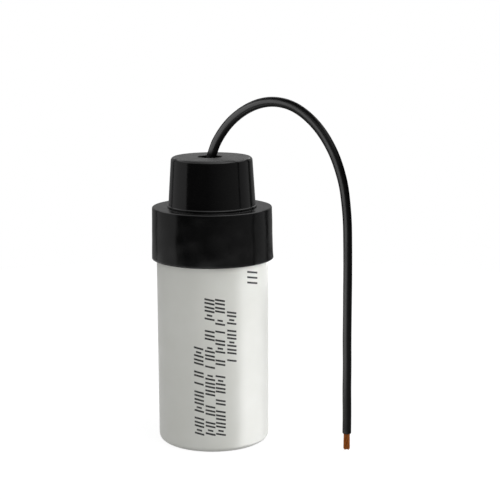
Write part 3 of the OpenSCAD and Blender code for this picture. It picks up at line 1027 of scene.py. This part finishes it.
@dataclass
class Lead:
    """The insulated lead, from its tab through the cover's hole, over and down, and its strands.

    The route is the solids' own: each point is [across, back, above the cover's top].
    """

    cover_top: float = 92.9
    start: tuple[float, float, float] = (-3.0, 0.0, 79.3)
    diameter: float = 2.8
    bundle: float = 2.1
    bare: float = 5.3
    bore_depth: float = 3.0
    bore_play: float = 0.02
    edge: float = 0.3
    ring_step: float = 0.55
    swell: float = 0.11
    swell_start: tuple[float, float] = (8.0, 14.0)
    swell_end: tuple[float, float] = (62.0, 96.0)
    around: int = 28
    route: tuple[tuple[float, float, float], ...] = (
        (-3, 0, -11.5), (-2.4, 0.2, -8.5), (-1.5, 0.2, -5), (-0.8, 0.1, -2), (0.3, -0.2, 1.2),
        (1.3, -0.6, 4), (2.9, -1.2, 7), (5.4, -2.3, 10.5), (8, -3.3, 13.1), (11, -4.5, 15.3),
        (14.5, -6, 17), (18, -7.4, 17.8), (21.5, -8.9, 17.7), (25, -10.3, 16.7),
        (28.5, -11.7, 14.6), (31.3, -12.9, 12.1), (33.8, -13.9, 9.1), (36, -14.8, 5.6),
        (38, -15.7, 1.4), (39.5, -16.3, -3), (40.6, -16.7, -7.4), (41.3, -17, -12.4),
        (41.8, -17.1, -18), (42, -17.3, -25), (42.1, -17.3, -33), (42.1, -17.4, -41),
        (42.1, -17.4, -49), (42.1, -17.4, -57), (42.2, -17.4, -65), (42.2, -17.4, -73),
        (42.3, -17.4, -80), (42.3, -17.4, -87),
    )

    def line(self) -> Centreline:
        """Fits the lead's centreline to its route."""
        above = np.array(self.route, float) + (0, 0, self.cover_top)
        knots = np.concatenate([[self.start], above])
        return Centreline(knots, np.array([-knots[-1, 1], knots[-1, 0], 0.0]))

    def insulation(self, line: Centreline) -> tuple[Surface, np.ndarray]:
        """Works out the insulation as a closed skin with a bore at its cut end.

        Its section runs out from the middle of the inner end, along the outside, over the
        rounded cut edge, back up the bore and in to the axis. The outside swells and shrinks by
        under a hundredth of its radius, in slow sines along and round it. Over the bend it is a
        tenth thicker, fading out below the hole and down the hanging run.

        Args:
            line: the lead's centreline.

        Returns:
            The skin, and each point's distance from the cut end in millimetres.
        """
        radius, bore, end = self.diameter / 2, self.bundle / 2 + self.bore_play, line.length
        deep = end - self.bore_depth
        bow = np.linspace(0, math.pi / 2, 6)
        outside = np.arange(self.edge, end - self.edge, self.ring_step)
        run = np.concatenate([
            [0, 0], self.edge * (1 - np.cos(bow[1:])), outside[1:],
            end - self.edge * (1 - np.sin(bow)), [end, deep, deep]])
        reach = np.concatenate([
            [radius * 0.3, radius - self.edge], radius - self.edge * (1 - np.sin(bow[1:])),
            np.full(len(outside) - 1, radius), radius - self.edge * (1 - np.cos(bow)),
            [bore, bore, bore * 0.3]])
        turn = even_angles(self.around)
        slow = np.sin(run[:, None] * 0.35) + np.sin(run[:, None] * 0.13 + 2 * turn + 0.5)
        bend = self.swell * eased(run, *self.swell_start) * (1 - eased(run, *self.swell_end))
        rings = line.rings(
            run, reach[:, None] * (1 + 0.004 * slow + bend[:, None]), self.around)
        return skin(rings, looped=False), per_point(end - run, self.around)

    def strands(self, line: Centreline) -> tuple[Surface, np.ndarray]:
        """Works out the bare copper: one strand in the middle, six round it and twelve outside.

        Strand k runs down a helix whose radius is its layer's and whose angle turns by one turn
        in a lay. Its tip is round: there its radius is that of a half ball. The strands end a
        little unevenly, and the outer ones spread slightly towards their tips.

        Args:
            line: the lead's centreline.

        Returns:
            The skin, and how deep in the bundle each point lies, from 0 outside to 1.
        """
        thick, lay, sides = self.bundle / 5, 26.0, 12
        layer = np.repeat([0.0, 1.0, 1.92], [1, 6, 12])
        first = np.concatenate([[0.0], even_angles(6), even_angles(12) + 0.2])
        order = np.arange(len(layer))
        short = 0.09 * (1 + np.sin(order * 2.3)) + 0.05 * np.sin(order * 5.1) ** 2
        tip = np.concatenate([np.linspace(0, 0.8, 18, endpoint=False), 0.8 + 0.2 * np.sin(
            np.linspace(0, math.pi / 2 * 0.97, 8))])
        whole = self.bore_depth + self.bare
        run = tip[None] * (whole - short[:, None])
        from_tip = (whole - short[:, None]) - run
        ball = np.sqrt(np.clip(1 - np.clip(1 - from_tip / (thick / 2), 0, 1) ** 2, 0.02, 1))
        angle = first[:, None] + run / lay * FULL_TURN
        spread = 1 + 0.05 * eased(run, whole - self.bare, whole)
        ring_r = layer[:, None] * thick * spread
        end = line.points[-1]
        middle = np.stack([
            end[0] + ring_r * np.cos(angle), end[1] + ring_r * np.sin(angle),
            end[2] + self.bore_depth - run], axis=-1)
        turn = even_angles(sides)
        circle = np.stack([np.cos(turn), np.sin(turn), np.zeros(sides)], axis=-1)
        grid = middle[:, :, None] + circle * (ball * thick / 2)[:, :, None, None]
        parts = [skin(rings, looped=False) for rings in grid]
        made = Surface.joined(parts)
        off = np.linalg.norm(made.points[:, :2] - end[:2], axis=1)
        return made, np.clip(1 - off / (self.bundle / 2), 0, 1)

    def build(self) -> tuple[bpy.types.Object, bpy.types.Object]:
        """Returns:
            The insulation and the strands.
        """
        line = self.line()
        tube, to_cut = self.insulation(line)
        lead = tube.piece("lead_insulated", LEAD_VINYL.material(), Slot.LEAD, {"to_cut": to_cut})
        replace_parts(lead, "lead")
        bundle, depth = self.strands(line)
        bare = bundle.piece("lead_strands", COPPER.material(), Slot.COPPER, {"depth": depth})
        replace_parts(bare, "lead_bare_strands")
        soldered = frame["nodes"]["lead_soldered_strands"]
        soldered.data.materials.clear()
        soldered.data.materials.append(bare.data.materials[0])
        return lead, bare


def dress_inner_pieces() -> None:
    """Gives each piece inside the can and under the cover its finish."""
    for finish, names in INNER_FINISHES.items():
        material = finish.material()
        for name in names:
            mesh = frame["nodes"][name].data
            mesh.materials.clear()
            mesh.materials.append(material)
            log.info("%s: %s", name, finish.name)


# ---------------------------------------------------------------- studio


def restrict(source: bpy.types.Object, pieces: Sequence[str], state: str) -> None:
    """Limits which pieces a lamp or a glowing card lights.

    Args:
        source: the lamp or card.
        pieces: names of the pieces; with none, the source lights everything.
        state: INCLUDE to light these alone, EXCLUDE to light all but these.
    """
    if not pieces:
        return
    group = bpy.data.collections.new(source.name + "_group")
    for index, piece in enumerate(pieces):
        group.objects.link(bpy.data.objects[piece])
        group.collection_objects[index].light_linking.link_state = state
    source.light_linking.receiver_collection = group


def reflector(name: str, points: np.ndarray, glow: np.ndarray) -> bpy.types.Object:
    """Makes a glowing card that only reflections show.

    Args:
        name: the card's name.
        points: two rows of points along its edges, in millimetres, shaped (2, points, 3).
        glow: how bright it is at each point of a row.

    Returns:
        The card, hidden from the camera and from soft light.
    """
    count = points.shape[1]
    index = np.arange(count - 1)
    quads = np.stack([index, index + 1, index + 1 + count, index + count], axis=-1)
    graph = Graph(name)
    light = graph.add("ShaderNodeEmission")
    graph.join(graph.attribute("glow"), light.inputs["Strength"])
    graph.join(light.outputs[0], graph.tree.nodes["Material Output"].inputs["Surface"])
    made = Surface(points.reshape(-1, 3), quads, np.empty((0, 3), int)).piece(
        name, graph.material, marks={"glow": np.tile(glow, 2)})
    made.visible_camera = made.visible_diffuse = made.visible_shadow = False
    made.visible_transmission = False
    return made


@dataclass(frozen=True)
class Card:
    """A curved card round the table that only reflections show.

    Args:
        name: the card's name.
        start: angle of its left edge, in degrees to the right of the camera.
        end: angle of its right edge.
        near: how bright it is at its left edge.
        far: how bright it is at its right edge.
        low: height of its lower edge, in millimetres.
        high: height of its upper edge.
        distance: how far it stands from the part.
        spared: the pieces that don't show it.
        only: the pieces that show it, if not all of them do.
    """

    name: str
    start: float
    end: float
    near: float
    far: float
    low: float = -400.0
    high: float = 420.0
    distance: float = 600.0
    spared: tuple[str, ...] = ("lead_insulated",)
    only: tuple[str, ...] = ()

    def build(self) -> bpy.types.Object:
        """Bends the card round the table: its point (i, j) is (d sin a, -d cos a, z).

        Returns:
            The card, hidden from the camera and from soft light.
        """
        angle = np.radians(np.linspace(self.start, self.end, 25))
        rim = np.stack([np.sin(angle), -np.cos(angle)], axis=-1) * self.distance
        rows = np.stack([
            np.column_stack([rim, np.full(len(rim), level)]) for level in (self.low, self.high)])
        made = reflector(self.name, rows, np.linspace(self.near, self.far, len(rim)))
        restrict(made, self.only or self.spared, "INCLUDE" if self.only else "EXCLUDE")
        if self.only:
            made.light_linking.blocker_collection = made.light_linking.receiver_collection
        return made


@dataclass(frozen=True)
class Ceiling:
    """A flat card over the table that only reflections show.

    Args:
        name: the card's name.
        left: how bright it is at its left edge.
        right: how bright it is at its right edge.
        height: its height in millimetres.
        across: half of its width.
        front: how far it reaches towards the camera.
        back: how far it reaches behind the part.
    """

    name: str
    left: float
    right: float
    height: float = 620.0
    across: float = 520.0
    front: float = 680.0
    back: float = 360.0

    def build(self) -> bpy.types.Object:
        """Lays the card out from left to right, between its front edge and its back one.

        Returns:
            The card, hidden from the camera and from soft light.
        """
        side = np.linspace(-self.across, self.across, 25)
        rows = np.stack([
            np.column_stack([side, np.full(25, y), np.full(25, self.height)])
            for y in (-self.front, self.back)])
        made = reflector(self.name, rows, np.linspace(self.left, self.right, 25))
        restrict(made, ("lead_insulated",), "EXCLUDE")
        return made


@dataclass(frozen=True)
class Lamp:
    """A soft area lamp.

    Args:
        name: the lamp's name.
        place: where it stands, in metres.
        aim: what it points at, in metres.
        size: its width and height in metres.
        power: its power in watts.
        only: the pieces that it lights, if it doesn't light all of them. Then nothing but they
            and the cover stops its light.
        spared: the pieces that it leaves unlit.
    """

    name: str
    place: tuple[float, float, float]
    aim: tuple[float, float, float]
    size: tuple[float, float]
    power: float
    only: tuple[str, ...] = ()
    spared: tuple[str, ...] = ()

    def build(self) -> None:
        """Adds the lamp to the scene."""
        light = bpy.data.lights.new(self.name, "AREA")
        light.shape = "ELLIPSE"
        light.size, light.size_y = self.size
        light.energy = self.power
        lamp = bpy.data.objects.new(self.name, light)
        lamp.location = self.place
        way = Vector(self.aim) - Vector(self.place)
        lamp.rotation_euler = way.to_track_quat("-Z", "Y").to_euler()
        lamp.visible_camera = False
        bpy.context.scene.collection.objects.link(lamp)
        restrict(lamp, self.only, "INCLUDE")
        restrict(lamp, self.spared, "EXCLUDE")
        if self.only:
            stops = bpy.data.collections.new(self.name + "_stops")
            for piece in sorted({*self.only, "cover_moulding"}):
                stops.objects.link(bpy.data.objects[piece])
            lamp.light_linking.blocker_collection = stops


# What the cards light by reflection alone, so that no lamp leaves a bright spot on its gloss
BLACK_PIECES = ("lead_insulated", "cover_moulding", "collar_moulding")


@dataclass
class Studio:
    """The camera, a pale floor, plain soft light and cards for the black pieces to reflect."""

    camera_place: tuple[float, float, float] = (0.0, -0.42535, 0.14297)
    lens: float = 96.42
    sensor: float = 36.0
    yaw: float = 1.634
    pitch: float = 10.72
    roll: float = -0.219
    floor_radius: float = 300.0
    floor_depths: tuple[float, float] = (-0.02, -2.0)
    floor_sides: int = 96
    floor_colour: Colour = (0.2, 0.2, 0.2)
    floor_glow: float = 0.9
    soft_light: float = 0.48
    lamps: tuple[Lamp, ...] = (
        Lamp("key_lamp", (0.683, -0.183, 0.38), (0.0, 0.0, 0.05), (0.42, 0.42), 2.6,
             spared=BLACK_PIECES),
        Lamp("top_lamp", (0.10, -0.10, 0.75), (0.0, 0.0, 0.05), (0.35, 0.35), 0.8,
             spared=BLACK_PIECES),
        Lamp("lead_lamp", (-0.226, -0.104, 0.105), (0.015, -0.007, 0.105), (0.62, 0.60), 2.3,
             only=("lead_insulated",)),
        Lamp("lead_foot_lamp", (-0.0136, -0.0395, -0.03), (0.042, -0.017, -0.03), (0.14, 0.15),
             0.08, only=("lead_insulated",)),
        Lamp("front_lamp", (-0.155, -0.58, 0.09), (0.0, 0.0, 0.04), (0.3, 0.12), 0.7,
             spared=BLACK_PIECES),
        Lamp("back_lamp", (0.03, 0.35, 0.22), (0.0, 0.0, 0.09), (0.3, 0.1), 0.07,
             only=("cover_moulding",)),
    )
    ceiling: Ceiling = Ceiling("ceiling_card", 0.4, 2.2)
    cards: tuple[Card, ...] = (
        Card("left_card", -128.0, -71.0, 0.30, 0.42),
        Card("front_card", -71.0, -8.0, 0.02, 0.03),
        Card("right_card", -8.0, 120.0, 0.04, 0.30),
        Card("right_gap_card", 120.0, 132.0, 0.03, 0.03),
        Card("back_card", 132.0, 226.0, 0.18, 0.18, high=90.0),
        Card("high_back_card", 132.0, 226.0, 0.26, 0.26, low=90.0),
        Card("left_gap_card", 226.0, 232.0, 0.03, 0.03),
        Card("can_card", 62.0, 165.0, 20.5, 16.0, high=-43.0, distance=590.0,
             only=("can_body", "can_print")),
    )

    def camera(self) -> None:
        """Sets the camera: it looks along its yaw and pitch, and is then rolled about its view."""
        yaw, pitch, roll = (math.radians(a) for a in (self.yaw, self.pitch, self.roll))
        ahead = Vector((
            math.sin(yaw) * math.cos(pitch), math.cos(yaw) * math.cos(pitch), -math.sin(pitch)))
        right = Vector((math.cos(yaw), -math.sin(yaw), 0))
        up = right.cross(ahead)
        across = right * math.cos(roll) + up * math.sin(roll)
        upright = up * math.cos(roll) - right * math.sin(roll)
        data = bpy.data.cameras.new("camera")
        data.lens, data.sensor_width, data.sensor_fit = self.lens, self.sensor, "HORIZONTAL"
        data.clip_start = 0.01
        camera = bpy.data.objects.new("camera", data)
        turn = Matrix((across, upright, -ahead)).transposed().to_4x4()
        camera.matrix_world = Matrix.Translation(self.camera_place) @ turn
        bpy.context.scene.collection.objects.link(camera)
        bpy.context.scene.camera = camera

    @staticmethod
    def seen_rays(graph: Graph) -> Socket:
        """Gives 1 for camera, glossy and transmission rays, and 0 for the rest."""
        path = graph.add("ShaderNodeLightPath").outputs
        mirror = graph.maths("MAXIMUM", path["Is Glossy Ray"], path["Is Transmission Ray"])
        return graph.maths("MAXIMUM", path["Is Camera Ray"], mirror)

    def floor(self) -> bpy.types.Object:
        """Makes the round floor: pale, with a glow that what looks at it sees.

        Returns:
            The floor.
        """
        graph = Graph("studio_floor")
        matt = graph.add("ShaderNodeBsdfDiffuse")
        matt.inputs["Color"].default_value = (*self.floor_colour, 1.0)
        glow = graph.add("ShaderNodeEmission")
        graph.join(graph.maths("MULTIPLY", self.seen_rays(graph), self.floor_glow),
                   glow.inputs["Strength"])
        both = graph.add("ShaderNodeAddShader")
        graph.join(matt.outputs[0], both.inputs[0])
        graph.join(glow.outputs[0], both.inputs[1])
        graph.join(both.outputs[0], graph.tree.nodes["Material Output"].inputs["Surface"])
        top, bottom = self.floor_depths
        inner = self.floor_radius * 0.3
        profile = np.array([
            (inner, top), (self.floor_radius, top), (self.floor_radius, bottom), (inner, bottom)])
        made = turned(profile, even_angles(self.floor_sides), looped=False).piece(
            "floor", graph.material)
        restrict(made, ("lead_insulated",), "EXCLUDE")
        return made

    def world(self) -> None:
        """Lights the part from all round, with white where the surroundings are seen."""
        world = bpy.data.worlds.new("studio_light")
        world.use_nodes = True
        bpy.context.scene.world = world
        graph = Graph.over(world.node_tree)
        sky = graph.tree.nodes["Background"]
        sky.inputs["Color"].default_value = (1.0, 1.0, 1.0, 1.0)
        level = graph.spread(self.seen_rays(graph), self.soft_light, 1.0, 0.0, 1.0)
        graph.join(level, sky.inputs["Strength"])

    def build(self) -> None:
        """Sets up everything but the camera."""
        self.world()
        for lamp in self.lamps:
            lamp.build()
        self.floor()
        self.ceiling.build()
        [card.build() for card in self.cards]
        bpy.context.scene.view_settings.view_transform = "Standard"


def main() -> None:
    """Builds the camera and the lead first, then the rest of the part and the studio."""
    logging.basicConfig(level=logging.INFO, format="%(name)s: %(message)s")
    studio = Studio()
    studio.camera()
    Lead().build()
    Can().build()
    CanPrint().build()
    Collar().build()
    TerminalCover().build()
    dress_inner_pieces()
    studio.build()


if __name__ == "__main__":
    main()
